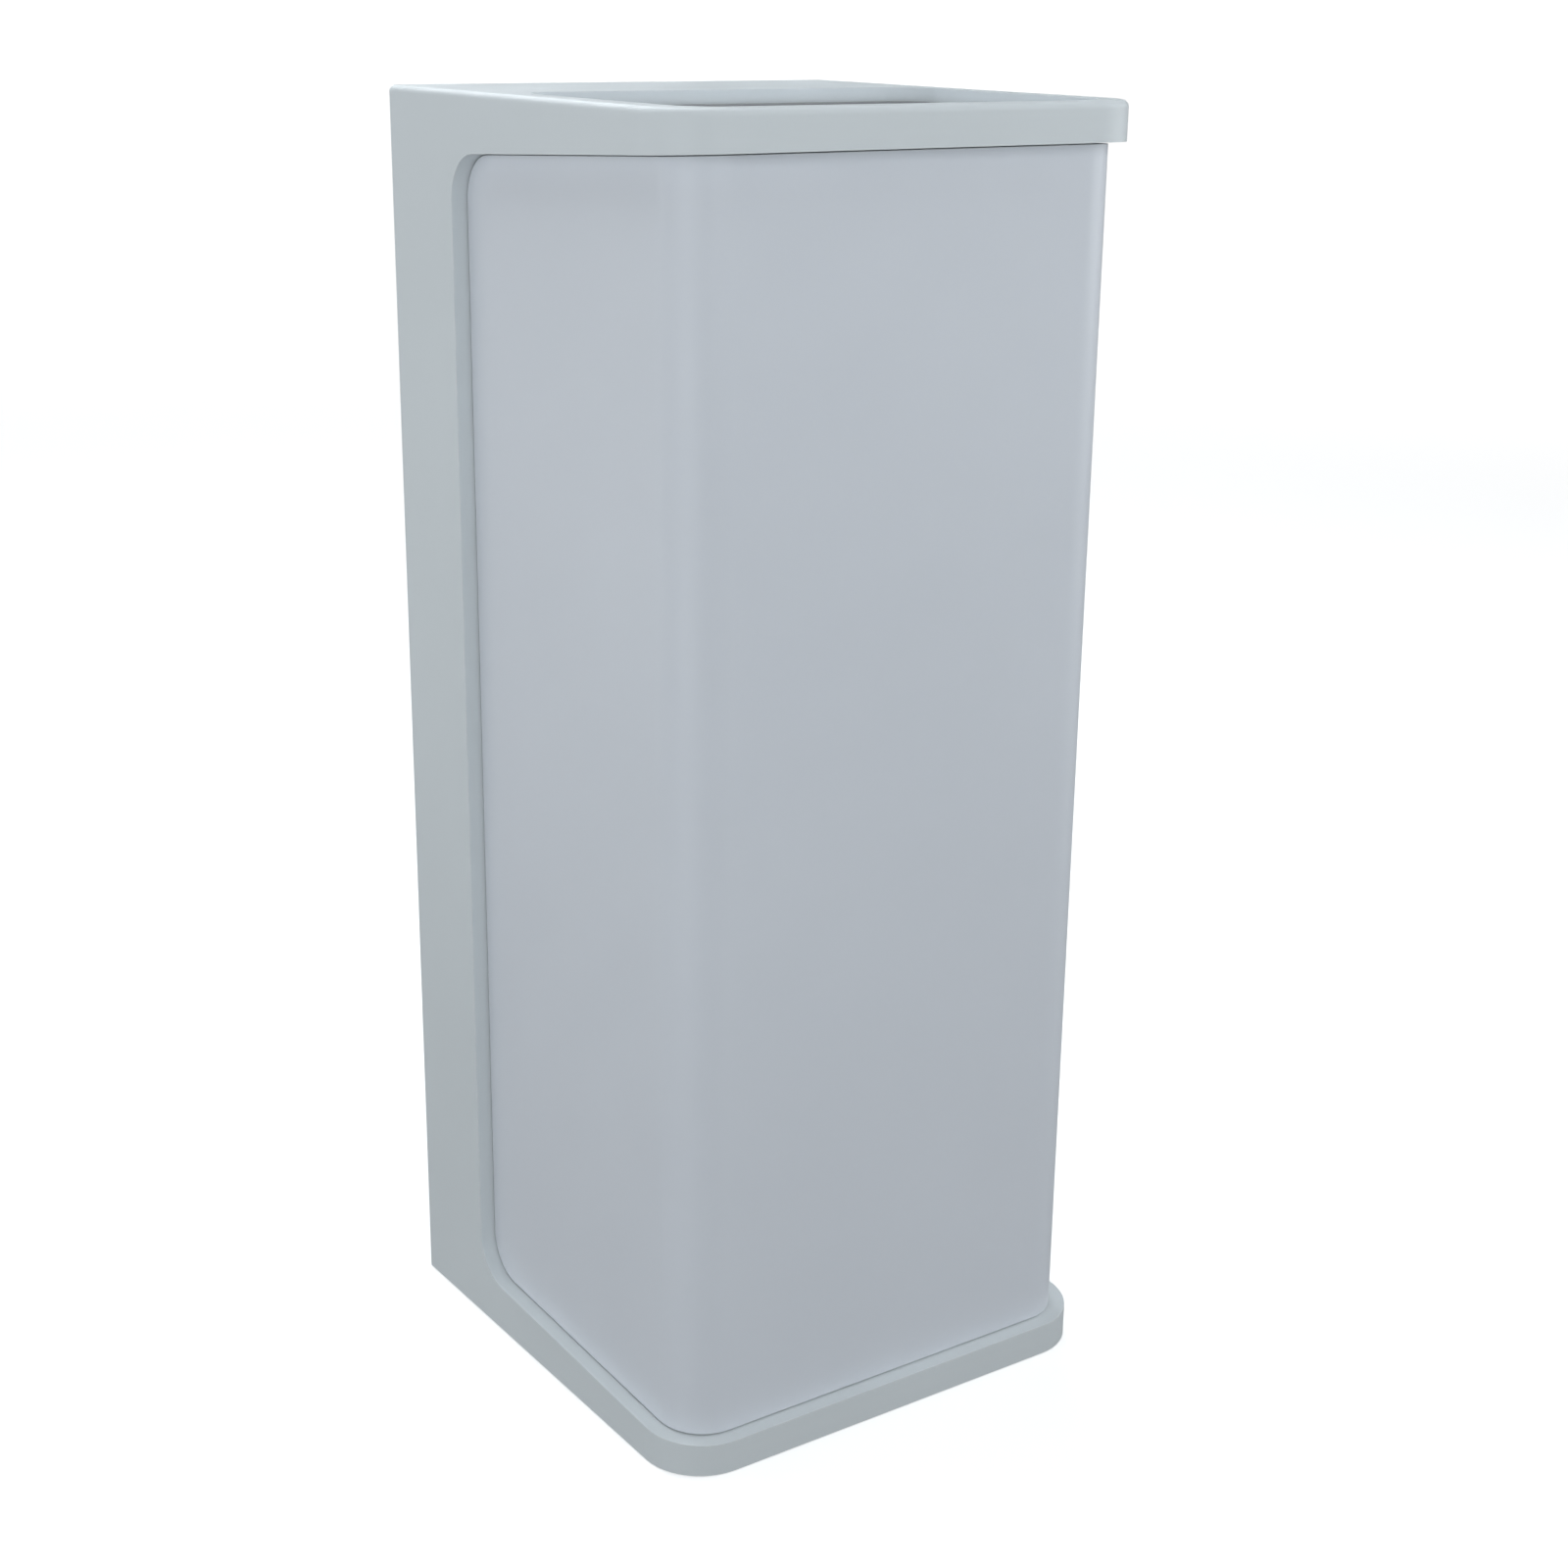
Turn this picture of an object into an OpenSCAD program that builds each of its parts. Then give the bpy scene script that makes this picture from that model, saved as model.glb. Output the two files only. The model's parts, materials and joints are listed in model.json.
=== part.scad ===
// Opal wall light unit: a C-shaped moulded frame, a wrap-round opal cover that pulls off
// forward, a top lens, and the gear that they hold. Millimetres.
// Origin: middle of the underside. +Z is up, the front faces -Y and the wall is at +Y.

/* [Frame] */
// Height over all
body_h = 300; // [290:1:310]
// Width over all
body_w = 121; // [119:1:126]
// Depth over all, from the wall to the front
body_d = 123; // [121:1:128]
// Plan radius of the two front corners
corner_r = 14.8; // [12:0.1:17]
// Radius of the top outer edge
edge_r = 1.6; // [0.8:0.1:2.2]
// Depth of the back housing
housing_d = 29; // [28:0.5:31]
// Thickness of the top arm at the front
top_t = 8.5; // [8:0.1:10]
// Thickness of the base arm at the front
base_t = 7.8; // [7:0.1:10]
// Growth of the top arm's thickness for each millimetre towards the wall
top_draft = 0.054; // [0.04:0.001:0.06]
// Growth of the base arm's thickness for each millimetre towards the wall
base_draft = 0.047; // [0.04:0.001:0.06]
// Radius where the arms meet the back housing
fillet_r = 10.5; // [8:0.1:12]
// Wall thickness of the back housing
wall_t = 3.5; // [3:0.1:4]
// Thickness of the wall between the housing and the lamp chamber
bulkhead_t = 3; // [2.5:0.1:3.5]

/* [Cover] */
// Step from the frame's faces in to the cover
ledge = 3.8; // [3.5:0.1:4.5]
// Wall thickness of the cover
cover_t = 2.5; // [2:0.1:3]
// Plan radius of the cover's corners
cover_r = 11.5; // [9:0.1:13]
// Gap between the cover and the frame
cover_gap = 0.3; // [0.3:0.05:0.6]

/* [Top recess] */
// Width of the top rim at the left and the right
rim_w = 7; // [6:0.5:12]
// Width of the top rim at the front
rim_front = 6; // [6:0.5:12]
// Distance from the front to the rear edge of the recess
recess_back = 76.5; // [70:0.5:80]
// Plan radius of the recess's corners
recess_r = 9; // [7:0.5:12]
// Depth of the recess above the lens
recess_d = 3.6; // [3:0.1:3.8]
// Thickness of the lens
lens_t = 2.5; // [2:0.1:2.6]

/* [Wall fixing] */
// Distance across between the wall screw slots
slot_dx = 76; // [70:1:80]
// Distance up between the wall screw slots
slot_dz = 220; // [210:1:224]
// Width of a wall screw slot
slot_w = 5.5; // [4.5:0.1:6]
// Length of a wall screw slot from end to end
slot_l = 14; // [10:0.5:16]
// Diameter of the supply cable that the grommet takes
cable_d = 8; // [6:0.5:9]

/* [Light source] */
// Light-emitting packages in each column
led_rows = 16; // [8:1:16]
// Distance between packages in a column
led_pitch = 12; // [10:0.5:12]

/* [Hidden] */
$fn = 64;

// Main planes
front_y = -body_d / 2;
back_y = body_d / 2;
band_y = back_y - housing_d;
half_w = body_w / 2;
cavity_y = band_y + bulkhead_t;
mid_z = body_h / 2;
// How far a cutter runs past a face, the play in a snug hole, and the play round a loose one
over = 2;
fit = 0.05;
loose = 0.3;

// Cover
cover_half = half_w - ledge;
lug_in = cover_half - 2 * cover_t;
lug_out = cover_half - cover_t;
lug_h = 16;
lug_dz = 100;
lug_reach = 9;
lug_root = 10;
lug_play = 0.6;
stake_x = 47;
stake_r = 1.5;
stake_l = 1.8;
clip_t = 0.5;
clip_foot_t = 0.6;
clip_foot_l = 7.8;
clip_leg_l = 9;
clip_w = 12;

// Locating ribs inside the cover
rib_t = 2;
rib_h = 3;
rib_gap = 0.5;

// Lens seat
seat_w = 3;
seal_t = 0.8;
seal_lip = 1.2;
seal_rise = 0.5;
well_d = 40;

// Pocket in the upper face of the base arm
pocket_half = 40;
pocket_front = 16;
pocket_rear = 12;
pocket_r = 5;
pocket_d = 2.8;

// Groove for the wall seal
groove_in = 1;
groove_w = 1.5;
groove_d = 1.5;

// Wall plate
plate_t = 1.5;
plate_y = back_y - plate_t;
plate_gap = 1;
entry_z = 42;
grommet_t = 6;
grommet_hole_r = 10.5;
grommet_lip = 1.5;
insert_r = 4.2;
insert_l = 6;
spigot_r = 2.6;

// Gear tray
tray_t = 1.5;
tray_half = 48;
tray_low = 26;
tray_high = body_h - 27;
tray_y = band_y - tray_t;
flange_d = 8;
window_half = 36;
window_low = 46;
window_high = body_h - 46;
vent_x = 30;
vent_r = 2.5;
vent_in = 6;

// Screws
screw_x = 42;
body_screw_dz = 168;
tray_screw_dz = 228;
m4_r = 2;
m3_r = 1.5;
body_boss_r = 4.5;
boss_end_y = plate_y - insert_l - 0.2;
tray_boss_r = 4;
tray_boss_l = 9;
tray_screw_l = 11;

// Light source
board_t = 1.6;
board_half = 15;
board_y = tray_y - board_t;
led_dx = 8;
led_side = 3;
led_t = 0.7;
led_low = mid_z - led_pitch * (led_rows - 1) / 2;
board_low = 48;
board_high = body_h - 48;
board_screw_z = [54, 117, 183, 246];
grommet_x = 25;
grommet_z = 53;
led_grommet_r = 4.5;
led_grommet_bore_r = 3.2;
led_grommet_lip = 1.5;
led_grommet_lip_t = 1.2;
lead_r = 0.9;
lead_dz = 1.4;
lead_bore_r = 1.1;
lead_y = 27;
connector_x = 7;
connector_w = 8;
connector_d = 4.2;
connector_h = 6;

// Driver
driver_half = 22;
driver_low = 150;
driver_high = 244;
driver_case_d = 17.5;
driver_lid_d = 4;
driver_y = band_y + 0.2;
ear_l = 6;
ear_t = 2;
ear_screw_x = -driver_half + 5;
ear_screw_z = [driver_low - ear_l / 2, driver_high + ear_l / 2];
driver_wall = 1.6;
driver_end = 6;
driver_wire_x = [-12, -6, 8, 13];
driver_wire_y = 41;
lid_play = 0.2;
post_h = 1.7;
post_r = 2;
post_x = 15;
post_in = 12;
circuit_t = 1.6;
circuit_half = 19;
circuit_in = 8;
circuit_y = driver_y + driver_wall + post_h;

// Terminal block
pole_pitch = 8;
term_half = 13;
term_low = 84;
term_high = 104;
term_d = 14;
term_y = plate_y - term_d;
lever_w = 6;
lever_l = 12;
lever_t = 2.2;
lever_hub_r = 2.2;
lever_pin_r = 1.1;
lever_pin_l = 0.85;
lever_z = term_high - 4;
lever_y = term_y + 2.8;
wire_y = plate_y - 4.5;
wire_r = 1.1;
entry_r = 1.5;
contact_out = 2.5;
contact_in = 1.9;
contact_gap = 0.1;
contact_end = 4;

// Earth point and cord clamp
earth_x = 32;
earth_z = 120;
earth_stud_l = 12;
ring_r = 4;
ring_t = 0.8;
barrel_r = 1.6;
nut_r = 4;
nut_t = 3.2;
clamp_z = 66;
clamp_dx = 24;
clamp_r = 4;
clamp_front = plate_y - 11;
clamp_back = plate_y - 7;
cable_y = plate_y - 5;

// Routes of the internal leads, from the first end to the second
route_line = [[-8, 55.5, 95], [-8, 55.5, 103], [-8, 55.5, 110], [-9, 53, 120], [-11, 47, 131],
    [-12, 42, 140], [-12, 41, 147], [-12, 41, 150], [-12, 41, 153]];
route_neutral = [[0, 55.5, 95], [0, 55.5, 103], [0, 55.5, 110], [-1, 53, 120], [-4, 47, 131],
    [-6, 42, 140], [-6, 41, 147], [-6, 41, 150], [-6, 41, 153]];
route_earth = [[8, 55.5, 95], [8, 55.5, 103], [8, 55.6, 108], [9.5, 56.5, 113], [13, 58, 118],
    [17, 58.3, 120], [21, 58.3, 120], [24, 58.3, 120], [26, 58.3, 120]];
route_plus = [[8, 41, 153], [8, 41, 150], [8, 41, 145], [11, 41, 130], [19, 41, 108], [24, 41, 84],
    [25, 41, 66], [25, 39, 58], [25, 35, 54.4], [25, 31, 54.4], [25, 29, 54.4], [23, 27.3, 54.4],
    [19, 27, 54.4], [15, 27, 54.4], [9, 27, 54.4]];
route_minus = [[13, 41, 153], [13, 41, 150], [13, 41, 145], [16, 41, 130], [24, 41, 108], [29, 41, 84],
    [29, 41, 63], [27, 39, 54], [25, 35, 51.6], [25, 31, 51.6], [25, 29, 51.6], [23, 27.3, 51.6],
    [19, 27, 51.6], [15, 27, 51.6], [9, 27, 51.6]];

// Heights of the arms' inner faces at a depth y
function base_top(y) = base_t + base_draft * (y - front_y);
function top_under(y) = body_h - top_t - top_draft * (y - front_y);

// ---------- shared shapes ----------

// A plate in plan, its back edge straight and its front corners round
module round_front(half, y0, y1, r) {
    translate([-half, y0 + r]) square([2 * half, y1 - y0 - r]);
    translate([-half + r, y0]) square([2 * (half - r), 2 * r]);
    for (s = [-1, 1]) translate([s * (half - r), y0 + r]) circle(r);
}

// A rectangle in plan with four round corners, centred across
module round_rect(half, y0, y1, r) {
    translate([-half + r, y0]) square([2 * (half - r), y1 - y0]);
    translate([-half, y0 + r]) square([2 * half, y1 - y0 - 2 * r]);
    for (s = [-1, 1], y = [y0 + r, y1 - r]) translate([s * (half - r), y]) circle(r);
}

// A side outline, drawn as y and z, carried across the width
module across(half) {
    translate([-half, 0, 0]) rotate([90, 0, 90]) linear_extrude(2 * half) children();
}

// A shape drawn as x and z, carried from y0 to y1
module along(y0, y1) {
    translate([0, y1, 0]) rotate([90, 0, 0]) linear_extrude(y1 - y0) children();
}

// A round bar along Y
module bar_y(x, z, r, y0, y1) {
    translate([x, y1, z]) rotate([90, 0, 0]) cylinder(r = r, h = y1 - y0);
}

// The four corners of a fixing pattern about the middle height
module four(dx, dz) {
    for (sx = [-1, 1], sz = [-1, 1]) translate([sx * dx / 2, 0, mid_z + sz * dz / 2]) children();
}

// Side outline of the space between the arms, drawn in by gap all round
module gap_outline(gap) {
    r = fillet_r - gap;
    rear = band_y - gap;
    yc = rear - r;
    sb = sqrt(1 + base_draft * base_draft);
    st = sqrt(1 + top_draft * top_draft);
    zb = base_top(yc) + (gap + r) * sb;
    zt = top_under(yc) - (gap + r) * st;
    y0 = front_y - over;
    polygon([[y0, base_top(y0) + gap * sb], [yc + r * base_draft / sb, zb - r / sb], [rear, zb],
        [rear, zt], [yc + r * top_draft / st, zt + r / st], [y0, top_under(y0) - gap * st]]);
    translate([yc, zb]) circle(r);
    translate([yc, zt]) circle(r);
}

// Plan of a U-shaped skin of thickness t, its outer face inset from the frame
module u_skin(inset, t, r, rear) {
    difference() {
        round_front(half_w - inset, front_y + inset, rear, r);
        round_front(half_w - inset - t, front_y + inset + t, rear + over, r - t);
    }
}

// A pan-head screw along +Y with its head's underside at y0 and a hexagon socket
module pan_screw(r, length, y0) {
    head_r = 1.9 * r;
    head_h = 1.2 * r;
    rotate([90, 0, 0]) {
        difference() {
            translate([0, 0, -y0]) cylinder(r = head_r, h = head_h);
            translate([0, 0, -y0 + 0.45 * head_h]) cylinder(r = 0.8 * r, h = head_h, $fn = 6);
        }
        translate([0, 0, -y0 - length]) cylinder(r = r, h = length + 0.1);
    }
}

// The same screw turned about, its head towards the wall
module pan_screw_back(r, length, y0) {
    mirror([0, 1, 0]) pan_screw(r, length, -y0);
}

// ---------- frame ----------

// What the round takes off the top outer edge, as outward and upward distances from the edge
module edge_profile() {
    difference() {
        translate([-edge_r, -edge_r]) square(edge_r + 1);
        translate([-edge_r, -edge_r]) circle(edge_r);
    }
}

module edge_cutter() {
    run = back_y + over - front_y - corner_r;
    translate([0, 0, body_h]) {
        translate([half_w, back_y + over, 0]) rotate([90, 0, 0]) linear_extrude(run) edge_profile();
        mirror([1, 0, 0]) translate([half_w, back_y + over, 0]) rotate([90, 0, 0])
            linear_extrude(run) edge_profile();
        translate([half_w - corner_r, front_y, 0]) rotate([90, 0, -90])
            linear_extrude(body_w - 2 * corner_r) edge_profile();
        for (s = [0, 1]) mirror([s, 0, 0]) translate([half_w - corner_r, front_y + corner_r, 0])
            rotate([0, 0, -90]) rotate_extrude(angle = 90) translate([corner_r, 0]) edge_profile();
    }
}

// Locating rib on an arm: a U in plan between two sloping side lines
module rib(low) {
    y0 = front_y;
    y1 = band_y + 1;
    intersection() {
        linear_extrude(body_h)
            u_skin(ledge + cover_t + rib_gap, rib_t, cover_r - cover_t - rib_gap, y1);
        across(half_w) polygon(low
            ? [[y0, base_top(y0) - 1], [y1, base_top(y1) - 1],
               [y1, base_top(y1) + rib_h], [y0, base_top(y0) + rib_h]]
            : [[y0, top_under(y0) - rib_h], [y1, top_under(y1) - rib_h],
               [y1, top_under(y1) + 1], [y0, top_under(y0) + 1]]);
    }
}

module housing_frame() {
    color("white") difference() {
        union() {
            difference() {
                linear_extrude(body_h) round_front(half_w, front_y, back_y, corner_r);
                across(half_w + over) gap_outline(0);
                edge_cutter();
                // rear cavity
                translate([-half_w + wall_t, cavity_y, wall_t])
                    cube([body_w - 2 * wall_t, housing_d, body_h - 2 * wall_t]);
            }
            four(2 * screw_x, body_screw_dz) bar_y(0, 0, body_boss_r, cavity_y - 1, boss_end_y);
            four(2 * screw_x, tray_screw_dz)
                bar_y(0, 0, tray_boss_r, cavity_y - 1, cavity_y + tray_boss_l);
            rib(true);
            rib(false);
            // stakes that hold the cover clips
            for (s = [-1, 1]) four(0, lug_dz)
                bar_y(s * stake_x, 0, stake_r, cavity_y - 1, cavity_y + stake_l);
        }
        // window behind the gear tray
        along(band_y - 1, cavity_y + 1) translate([-window_half, window_low])
            square([2 * window_half, window_high - window_low]);
        four(2 * screw_x, body_screw_dz) bar_y(0, 0, m4_r + loose, band_y - over, back_y);
        four(2 * screw_x, tray_screw_dz)
            bar_y(0, 0, m4_r + fit, band_y - over, cavity_y + tray_boss_l - 1);
        // slots for the cover's lugs
        for (s = [-1, 1], sz = [-1, 1])
            translate([s * (lug_in + lug_out) / 2, cavity_y, mid_z + sz * lug_dz / 2])
                cube([cover_t + 2 * lug_play, 2 * bulkhead_t + over, lug_h + 2 * lug_play],
                    center = true);
        // stepped seat of the lens
        translate([0, 0, body_h - recess_d - lens_t - seal_t]) linear_extrude(well_d)
            recess_plan(0);
        translate([0, 0, body_h - well_d]) linear_extrude(well_d + over)
            recess_plan(seat_w);
        // pocket in the upper face of the base arm
        translate([0, 0, base_t - pocket_d]) linear_extrude(well_d)
            round_rect(pocket_half, front_y + pocket_front, band_y - pocket_rear, pocket_r);
        // groove for the wall seal
        along(back_y - groove_d, back_y + 1) seal_ring(0);
    }
}

// The outline of the back in x and z, drawn in by inset
module back_outline(inset) {
    translate([-half_w + inset, inset]) square([body_w - 2 * inset, body_h - 2 * inset]);
}

// The wall seal's outline in x and z, drawn in by gap
module seal_ring(gap) {
    difference() {
        back_outline(groove_in + gap);
        back_outline(groove_in + groove_w - gap);
    }
}

module wall_seal() {
    color("dimgray") along(back_y - groove_d, back_y) seal_ring(fit);
}

// ---------- cover and lens ----------

module opal_cover() {
    color("aliceblue") {
        intersection() {
            across(half_w) gap_outline(cover_gap);
            linear_extrude(body_h) u_skin(ledge, cover_t, cover_r, band_y + over);
        }
        for (s = [-1, 1], sz = [-1, 1]) mirror([s < 0 ? 1 : 0, 0, 0])
            translate([0, 0, mid_z + sz * lug_dz / 2 - lug_h / 2]) {
                translate([lug_in, band_y - lug_root, 0]) cube([cover_t + 1, lug_root - 1, lug_h]);
                translate([lug_in, band_y - lug_root, 0]) cube([cover_t, lug_root + lug_reach, lug_h]);
            }
    }
}

// Plan of the recess, drawn in by gap
module recess_plan(gap) {
    round_rect(half_w - rim_w - gap, front_y + rim_front + gap,
        front_y + recess_back - gap, recess_r - gap);
}

module top_lens() {
    color("aliceblue") translate([0, 0, body_h - recess_d - lens_t]) linear_extrude(lens_t)
        recess_plan(seal_lip + 3 * fit);
}

// An angle section: a flat leg under the lens and a leg that stands up round its edge
module lens_seal() {
    color("lightgray") translate([0, 0, body_h - recess_d - lens_t - seal_t]) difference() {
        linear_extrude(seal_t + lens_t + seal_rise) recess_plan(fit);
        translate([0, 0, seal_t]) linear_extrude(well_d) recess_plan(seal_lip + fit);
        translate([0, 0, -over]) linear_extrude(well_d) recess_plan(seat_w);
    }
}

// ---------- wall plate and cable entry ----------

module wall_plate() {
    color("silver") difference() {
        along(plate_y, back_y) difference() {
            back_outline(wall_t + plate_gap);
            for (sx = [-1, 1], sz = [-1, 1]) translate([sx * slot_dx / 2, mid_z + sz * slot_dz / 2]) {
                square([slot_l - slot_w, slot_w], center = true);
                for (e = [-1, 1]) translate([e * (slot_l - slot_w) / 2, 0]) circle(slot_w / 2);
            }
        }
        bar_y(0, entry_z, grommet_hole_r, plate_y - 1, back_y + 1);
        four(2 * screw_x, body_screw_dz) bar_y(0, 0, spigot_r, plate_y - 1, back_y + 1);
        for (s = [-1, 1]) bar_y(s * clamp_dx / 2, clamp_z, m4_r + fit, plate_y - 1, back_y + 1);
        bar_y(earth_x, earth_z, m4_r + fit, plate_y - 1, back_y + 1);
    }
}

module cable_grommet() {
    bore_r = cable_d / 2 + 0.2;
    tip = grommet_t - plate_t;
    color("dimgray") translate([0, plate_y, entry_z]) rotate([90, 0, 0]) rotate_extrude()
        polygon([[bore_r, -plate_t], [grommet_hole_r - fit, -plate_t], [grommet_hole_r - fit, 0],
            [grommet_hole_r + grommet_lip, 0], [grommet_hole_r + grommet_lip, 1.2],
            [grommet_hole_r - 2, 2], [bore_r + 1.4, tip], [bore_r, tip]]);
}

// Threaded spacers: a hexagon in front of the plate and a spigot through it
module plate_inserts() {
    color("gainsboro") four(2 * screw_x, body_screw_dz) difference() {
        union() {
            translate([0, plate_y, 0]) rotate([90, 0, 0]) cylinder(r = insert_r, h = insert_l, $fn = 6);
            bar_y(0, 0, spigot_r - fit, plate_y - 0.1, back_y);
        }
        bar_y(0, 0, m4_r + fit, plate_y - insert_l - 1, back_y + 1);
    }
}

module body_screws() {
    color("gainsboro") four(2 * screw_x, body_screw_dz)
        pan_screw(m4_r, plate_y - tray_y - 0.6, tray_y);
}

module cord_clamp() {
    color("gray") difference() {
        along(clamp_front, clamp_back) clamp_outline();
        for (s = [-1, 1])
            bar_y(s * clamp_dx / 2, clamp_z, m4_r + loose, clamp_front - 1, clamp_back + 1);
        // saddle that the cable sits in
        translate([0, cable_y, clamp_z - clamp_r - over])
            cylinder(r = cable_d / 2 - 0.2, h = 2 * (clamp_r + over));
    }
}

module clamp_outline() {
    translate([-clamp_dx / 2, clamp_z - clamp_r]) square([clamp_dx, 2 * clamp_r]);
    for (s = [-1, 1]) translate([s * clamp_dx / 2, clamp_z]) circle(clamp_r);
}

module clamp_screws() {
    color("gainsboro") for (s = [-1, 1]) translate([s * clamp_dx / 2, 0, clamp_z])
        pan_screw(m4_r, back_y - clamp_front - 0.7, clamp_front);
}

// ---------- gear tray and light source ----------

module gear_tray() {
    color("whitesmoke") difference() {
        union() {
            along(tray_y, band_y) difference() {
                translate([-tray_half, tray_low]) square([2 * tray_half, tray_high - tray_low]);
                for (z = [board_low + vent_in, board_high - vent_in], s = [-1, 1])
                    translate([s * vent_x, z]) circle(vent_r);
            }
            // flanges folded forward along the sides
            for (s = [-1, 1])
                translate([s * (tray_half - tray_t / 2), tray_y - (flange_d - 1) / 2, mid_z])
                    cube([tray_t, flange_d + 1, tray_high - tray_low - 8], center = true);
        }
        for (dz = [body_screw_dz, tray_screw_dz]) four(2 * screw_x, dz)
            bar_y(0, 0, m4_r + loose, tray_y - 1, band_y + 1);
        for (z = board_screw_z) bar_y(0, z, m3_r + fit, tray_y - 1, band_y + 1);
        for (z = ear_screw_z) bar_y(ear_screw_x, z, m3_r + fit, tray_y - 1, band_y + 1);
        bar_y(grommet_x, grommet_z, led_grommet_r, tray_y - 1, band_y + 1);
    }
}

module tray_screws() {
    color("gainsboro") four(2 * screw_x, tray_screw_dz) pan_screw(m4_r, tray_screw_l, tray_y);
}

module led_board() {
    color("white") difference() {
        along(board_y, tray_y) translate([-board_half, board_low])
            square([2 * board_half, board_high - board_low]);
        for (z = board_screw_z) bar_y(0, z, m3_r + 0.2, board_y - 1, tray_y + 1);
    }
}

module led_chips() {
    color("khaki") for (s = [-1, 1], i = [0 : led_rows - 1])
        translate([s * led_dx, board_y - led_t / 2, led_low + i * led_pitch])
            cube([led_side, led_t, led_side], center = true);
}

module board_screws() {
    color("gainsboro") for (z = board_screw_z) translate([0, 0, z]) pan_screw(m3_r, 3, board_y);
}

module board_connector() {
    color("ivory") difference() {
        translate([connector_x, board_y - connector_d, grommet_z - connector_h / 2])
            cube([connector_w, connector_d, connector_h]);
        for (s = [-1, 1]) translate([connector_x + 1.5, lead_y, grommet_z + s * lead_dz])
            rotate([0, 90, 0]) cylinder(r = lead_bore_r, h = connector_w);
    }
}

module led_grommet() {
    lip = led_grommet_lip_t;
    color("dimgray") translate([grommet_x, 0, grommet_z]) difference() {
        union() {
            bar_y(0, 0, led_grommet_r - fit, tray_y, band_y);
            bar_y(0, 0, led_grommet_r + led_grommet_lip, tray_y - lip, tray_y);
            bar_y(0, 0, led_grommet_r + led_grommet_lip, band_y, band_y + lip);
        }
        bar_y(0, 0, led_grommet_bore_r, tray_y - over, band_y + over);
    }
}

// ---------- driver ----------

module driver_case() {
    color("white") {
        difference() {
            union() {
                translate([-driver_half, driver_y, driver_low])
                    cube([2 * driver_half, driver_case_d, driver_high - driver_low]);
                for (z = [driver_low - ear_l, driver_high]) translate([-driver_half, driver_y, z])
                    cube([2 * driver_half, ear_t, ear_l]);
            }
            translate([-driver_half + driver_wall, driver_y + driver_wall, driver_low + driver_end])
                cube([2 * (driver_half - driver_wall), driver_case_d,
                    driver_high - driver_low - 2 * driver_end]);
            for (z = ear_screw_z)
                bar_y(ear_screw_x, z, m3_r + loose, driver_y - 1, driver_y + ear_t + 1);
            for (x = driver_wire_x) translate([x, driver_wire_y, driver_low - 1])
                cylinder(r = entry_r, h = driver_end + over);
        }
        // posts under the circuit board
        for (s = [-1, 1], z = [driver_low + post_in, driver_high - post_in])
            bar_y(s * post_x, z, post_r, driver_y + 1, circuit_y);
    }
}

module driver_lid() {
    y0 = driver_y + driver_case_d;
    side = driver_wall + lid_play;
    end = driver_end + lid_play;
    color("gainsboro") {
        translate([-driver_half, y0, driver_low])
            cube([2 * driver_half, driver_lid_d - driver_wall, driver_high - driver_low]);
        // step that drops into the case
        translate([-driver_half + side, y0 - 2, driver_low + end])
            cube([2 * (driver_half - side), 2, driver_high - driver_low - 2 * end]);
    }
}

module driver_board() {
    color("darkgreen") translate([-circuit_half, circuit_y, driver_low + circuit_in])
        cube([2 * circuit_half, circuit_t, driver_high - driver_low - 2 * circuit_in]);
}

// What stands on the circuit board: transformer, choke, capacitors and two wire connectors
module driver_parts() {
    y0 = circuit_y + circuit_t;
    tall = 9;
    color("dimgray") translate([0, 0, driver_low]) {
        translate([-tall, y0, 40]) cube([2 * tall, tall, 16]);
        // capacitors that lie along the sides, and round ones that stand
        for (s = [-1, 1]) translate([s * 14, y0 + 4, 22]) cylinder(r = 4, h = 13);
        bar_y(0, 26, tall / 2, y0, y0 + tall);
        for (x = [-11, 1]) bar_y(x, 72, 4, y0, y0 + tall);
        translate([8, y0, 67]) cube([8, 6, 10]);
        // connectors at the wire entries
        for (x = [-14, 6]) translate([x, y0, 9.5]) cube([9, 8, 7]);
    }
}

module driver_screws() {
    head_y = driver_y + ear_t;
    color("gainsboro") for (z = ear_screw_z)
        translate([ear_screw_x, 0, z]) pan_screw_back(m3_r, head_y - tray_y - 0.1, head_y);
}

// ---------- terminal block ----------

module terminal_block() {
    pocket_low = lever_z - lever_l - 1.5;
    pocket_deep = 1 + lever_y - term_y + lever_hub_r + 0.4;
    chamber = contact_out + contact_gap;
    color("lightgray") difference() {
        translate([-term_half, term_y, term_low]) cube([2 * term_half, term_d, term_high - term_low]);
        for (i = [-1, 0, 1]) {
            x = i * pole_pitch;
            // pocket for the lever
            translate([x - lever_w / 2 - loose / 2, term_y - 1, pocket_low])
                cube([lever_w + loose, pocket_deep, term_high + 1 - pocket_low]);
            // wire way, from the supply side to the lamp side
            translate([x, wire_y, term_low - 1]) cylinder(r = entry_r, h = term_high - term_low + 2);
            // chamber of the contact
            translate([x - chamber, wire_y - chamber, term_low + contact_end])
                cube([2 * chamber, 2 * chamber, term_high - term_low - 2 * contact_end]);
        }
        // bearing of the levers' pins
        translate([-term_half + 1, lever_y, lever_z]) rotate([0, 90, 0])
            cylinder(r = lever_pin_r + fit, h = 2 * (term_half - 1));
    }
}

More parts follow.
